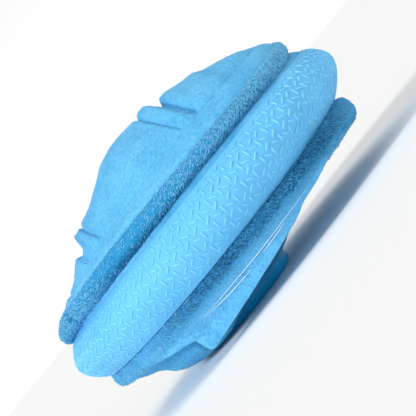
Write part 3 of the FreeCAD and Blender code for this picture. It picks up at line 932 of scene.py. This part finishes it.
def crown_seam():
    """Sunk stitches along the seam between crown and shoulder."""
    count = 420
    angle = turns(count)
    ones = np.ones(count)
    roots = upper_surface(angle, 1.01 * ones)
    along = upper_surface(angle + 0.01, 1.01 * ones) - roots
    along[:, 2] = 0
    along /= np.linalg.norm(along, axis=1, keepdims=True)
    normal = around(angle, 0.6, 0.8 - MIDDLE)
    points, faces = strand_mesh(roots, normal, along, 0.3 * ones, 0.07 * ones, 0.03 * ones, 0 * ones)
    add_piece("crown_seam_thread", points, faces, KNIT_NAP, ["crown_seam_thread"])


# Lower covers

# The skirt's and the flap's features are placed by x on circles of these radii.
SKIRT_RING = 29.5
FLAP_RING = 33.5

# The bag's outline at -X, from the hem down to the cap, as (radius, height).
LEFT_BAG = [
    (32.7, -9.1), (30.9, -10.3), (29.0, -11.2), (27.9, -12.3), (26.8, -13.9), (25.2, -15.2), (22.9, -16.2),
    (20.2, -16.9),
]


def skirt_surface(angle, share):
    """The bag between the lower hem and the cap. It bulges most at -X, where it nearly touches the floor."""
    left = smoothstep(-0.1, 0.9, -np.sin(angle))
    top = around(angle, 31.9 + 0.9 * left, -9.2)
    foot = around(angle, CAP_RADIUS + 0.5, CAP_TOP - 1.6 * left)
    foot[..., 0] += CAP_X
    surface = top * (1 - share[..., None]) + foot * share[..., None]
    bulge = (0.7 - 1.7 * smoothstep(0.15, 0.7, np.sin(angle))) * np.sin(math.pi * share**1.25)
    radii, heights = (np.interp(share, np.linspace(0, 1, len(LEFT_BAG)), line) for line in zip(*LEFT_BAG))
    bag = (left * (1 - smoothstep(0.9, 1, share)))[..., None]
    surface = surface * (1 - bag) + around(angle, radii, heights) * bag
    bulge = bulge * (1 - bag[..., 0])
    x = SKIRT_RING * np.sin(angle)
    under_lobe = 4.2 * bell(x, -18.8, 1.2) * bell(share, 0.5, 0.2)
    under_edge = 2.0 * smoothstep(-27, -23, x) * smoothstep(-15, -17, x) * bell(share, 0.25, 0.16)
    ridge = 0.5 * bell(x + 4 * (share - 0.5), -21.0, 0.8) * bell(share, 0.6, 0.2)
    pocket = np.where(np.cos(angle) > 0, under_lobe + under_edge - ridge, 0)
    return surface + around(angle, bulge * 0.85 - pocket, -bulge * 0.75 + 0.4 * pocket - MIDDLE)


def skirt():
    """The padded lower cover, down to the cap."""
    rows, columns = 70, 540
    share = np.linspace(0, 1, rows)[:, None]
    angle = turns(columns)[None, :]
    surface = skirt_surface(angle + 0 * share, share + 0 * angle)
    surface[..., 2] += 0.14 * rough(surface, 3.2, 8) + 0.035 * rough(surface, 0.6, 9)
    faces = facing_out(surface, grid_faces(rows, columns, False, True))
    piece = add_piece("lower_cover", surface, faces, KNIT_PAINTED_SHADE, ["lower_cover", "lower_pad"])
    thicken(piece, 0.8)
    strands_on("lower_nap", surface, (False, True), 8000, 5, **NAP)


FLAP_LEFT = math.radians(-80)
FLAP_RIGHT = math.radians(84)
# The flap's lower edge, as (x, height).
FLAP_EDGE = [
    (-34.0, -7.4), (-28.9, -8.2), (-26.3, -9.3), (-22.0, -10.5), (-19.9, -11.0), (-18.3, -11.7),
    (-17.7, -12.2), (-17.45, -13.2), (-17.35, -14.1), (-17.0, -14.7), (-16.3, -15.1), (-15.4, -15.0),
    (0.4, -13.0), (9.0, -11.8), (10.7, -11.4), (12.4, -10.85), (16.7, -10.5), (22.7, -9.5), (28.8, -8.9),
    (32.4, -8.7), (34.0, -7.8),
]


def flap_edge(x):
    """The height of the flap's lower edge: a slant with a step, a fold's tip, and a shorter slant at -X."""
    places, heights = zip(*FLAP_EDGE)
    return np.interp(x, places, heights)


def flap_top(angle):
    return lower_height(angle) - 0.4


def flap_radius(angle, share, x):
    """The flap leaves the hem's roll, bellies out a little and comes back in."""
    fold = 1.3 * bell(x, -16.8, 0.9) + 0.5 * bell(x, -21.5, 2.5)
    small = 0.7 * bell(x, -14.6, 0.6)
    lean = (fold - small) * smoothstep(0.35, 1, share)
    return lower_outer(angle) - 0.15 + 0.15 * np.sin(math.pi * share) - 0.9 * share**2 + lean


def flap_point(angle, share):
    """A point on the flap, from its top in the hem to its edge. Its fold at -X leans over the bag."""
    x = FLAP_RING * np.sin(angle)
    top = flap_top(angle)
    height = top + (flap_edge(x) - top) * share
    lean = 0.25 * bell(x, -18.2, 1.2) * np.sin(math.pi * np.clip(share, 0, 1) ** 1.6)
    return around(angle - lean / FLAP_RING, flap_radius(angle, share, x), height)


def flap():
    """The hanging flap.

    Either is raised to the least side that a sheet may have.
    """
    rows, columns = 44, 600
    share = np.linspace(0, 1, rows)[:, None]
    angle = np.linspace(FLAP_LEFT, FLAP_RIGHT, columns)[None, :]
    surface = flap_point(angle + 0 * share, share + 0 * angle)
    surface += 0.08 * rough(surface, 2.8, 10)[..., None] * np.array([0, -1.0, 0.3])
    surface += 0.035 * rough(surface, 0.6, 11)[..., None] * np.array([0, -1.0, 0])
    faces = facing_out(surface, grid_faces(rows, columns))
    piece = add_piece("lower_flap", surface, faces, FLAP_KNIT, ["lower_flap"])
    thicken(piece, 0.7)
    weight = (1 - smoothstep(0.15, 0.75, share)) + 0.03 + 0 * angle
    look, size = (STRANDS_LOWER, "fleece"), (0.6, 0.13, 0.05)
    strands_on("flap_strands", surface, (False, False), 9000, 6, look, size, 0.9, -0.5, weight)


def hairs():
    """Loose threads that lie on the flap, each through three places given as (x, height)."""
    lines = (
        ((-13.7, -10.1), (0.4, -10.2), (13.6, -9.85)),
        ((-12.7, -10.35), (-7.7, -10.9), (-2.2, -11.05)),
        ((0.9, -10.8), (5.5, -10.55), (7.3, -10.35)),
    )
    count = 16
    for number, line in enumerate(lines):
        curve = bpy.data.curves.new(f"loose_thread_{number}", "CURVE")
        curve.dimensions = "3D"
        spline = curve.splines.new("NURBS")
        spline.points.add(count - 1)
        places, levels = zip(*line)
        for number_along, point in enumerate(spline.points):
            x = places[0] + (places[-1] - places[0]) * number_along / (count - 1)
            height = float(np.interp(x, places, levels))
            angle = math.asin(x / FLAP_RING)
            top = float(flap_top(np.array(angle)))
            share = (height - top) / (float(flap_edge(x)) - top)
            radius = float(flap_radius(np.array(angle), share, x)) + 0.22
            point.co = (*(around(np.array(angle), radius, height) * MM), 1)
            point.radius = 0.35 + 0.65 * math.sin(math.pi * number_along / (count - 1))
        spline.order_u = 3
        spline.use_endpoint_u = True
        curve.bevel_depth = 0.072 * MM
        curve.bevel_resolution = 2
        piece = put_in_scene(f"loose_thread_{number}", curve)
        curve.materials.append(LINT)
        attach(piece, BODY)


def lint():
    """Bright tufts caught along the band's edges, placed as (degrees round the axis, height)."""
    rng = np.random.default_rng(31)
    tufts = [(-62, 6.1), (-47, 5.9), (-26, 5.9), (-17, 6.0), (-84, -5.2), (-77, -5.3), (-35, -5.8)]
    tufts += [(-30, -5.9), (-24, -6.1), (22, -6.2), (58, -7.0), (120, 6.2), (200, -6.0)]
    roots, normals = [], []
    for degrees, height in tufts:
        for _ in range(6):
            angle = math.radians(degrees) + rng.normal(0, 0.018)
            side = math.sin(angle)
            edge = band_foot(side) if height < 0 else band_top(side)
            spot = around(np.array(angle), float(band_radius(side, edge)) - rng.uniform(-0.1, 0.9), height)
            roots.append(spot + rng.normal(0, 0.12, 3))
            normals.append(around(np.array(angle), 0.9, math.copysign(0.4, height) - MIDDLE))
    count = len(roots)
    normals = np.array(normals)
    along = np.cross(normals, rng.normal(0, 1, (count, 3)))
    along /= np.linalg.norm(along, axis=1, keepdims=True)
    lengths, lifts = rng.uniform(0.2, 0.5, count), rng.uniform(0.05, 0.25, count)
    widths, bends = np.full(count, 0.05), rng.normal(0, 0.12, count)
    points, faces = strand_mesh(np.array(roots), normals, along, lengths, lifts, widths, bends)
    add_piece("lint", points, faces, LINT, ())


# Scene


HORIZON = 1.0
ZENITH = 0.36
FLOOR_REACH = 6.0


def make_floor():
    """A plain pale floor. Its corners are in metres."""
    size = FLOOR_REACH
    mesh = bpy.data.meshes.new("floor")
    corners = [(-size, -size, 0), (size, -size, 0), (size, size, 0), (-size, size, 0)]
    mesh.from_pydata(corners, [], [(0, 1, 2, 3)])
    floor = put_in_scene("floor", mesh)
    material, _, shader = new_material("floor")
    shader.inputs["Base Color"].default_value = (0.96, 0.96, 0.96, 1)
    shader.inputs["Roughness"].default_value = 0.95
    shader.inputs["Specular IOR Level"].default_value = 0.1
    mesh.materials.append(material)


def add_sun(name, direction, energy, spread):
    """A distant soft light that shines along a direction."""
    data = bpy.data.lights.new(name, "SUN")
    data.energy = energy
    data.angle = math.radians(spread)
    light = put_in_scene(name, data)
    light.rotation_mode = "QUATERNION"
    light.rotation_quaternion = Vector(direction).to_track_quat("-Z", "Y")


def make_world():
    """Plain studio surroundings: pale at the horizon, like the floor, and dimmer overhead."""
    world = bpy.data.worlds.new("studio")
    bpy.context.scene.world = world
    world.use_nodes = True
    tree = world.node_tree
    coordinates = tree.nodes.new("ShaderNodeTexCoord")
    split = tree.nodes.new("ShaderNodeSeparateXYZ")
    tree.links.new(coordinates.outputs["Generated"], split.inputs[0])
    pale, dim = (HORIZON,) * 3, (ZENITH,) * 3
    sky = link_ramp(tree, split.outputs["Z"], [(0.0, pale), (0.12, pale), (0.5, dim)])
    tree.links.new(sky, tree.nodes["Background"].inputs["Color"])


bpy.context.scene.view_settings.view_transform = "Standard"
tread_band()
tread_dashes()
edge_beading()
side_strip(1, "upper_side_strip", upper_height, upper_half, upper_outer)
side_strip(-1, "lower_side_strip", lower_height, lower_half, lower_outer)
hems()
hem_cord("upper_hem_cord", upper_height, upper_outer)
hem_cord("lower_hem_cord", lower_height, lower_outer)
hem_thread("upper_hem_thread", upper_height, upper_half, upper_outer, 1)
hem_thread("lower_hem_thread", lower_height, lower_half, lower_outer, -1)
crown()
shoulder()
crown_seam()
skirt()
flap()
hairs()
lint()
make_floor()
make_world()
add_sun("key", (1.0, 0.9, -0.7), 1.7, 12)
add_sun("front_fill", (-0.3, 1.0, -0.1), 0.5, 30)
add_sun("overhead", (-0.1, 0.3, -1.0), 0.95, 50)

CAD_FINISH = {
    "core_disc": CORE_BLACK, "core_lid": CORE_BLACK, "weight_disc": STEEL,
    "anchor_plate": INNER_PLASTIC, "cap_screws": STEEL, "glide_cap": CAP_BLUE,
}
for node, material in CAD_FINISH.items():
    for place in frame["nodes"][node].material_slots:
        place.material = material
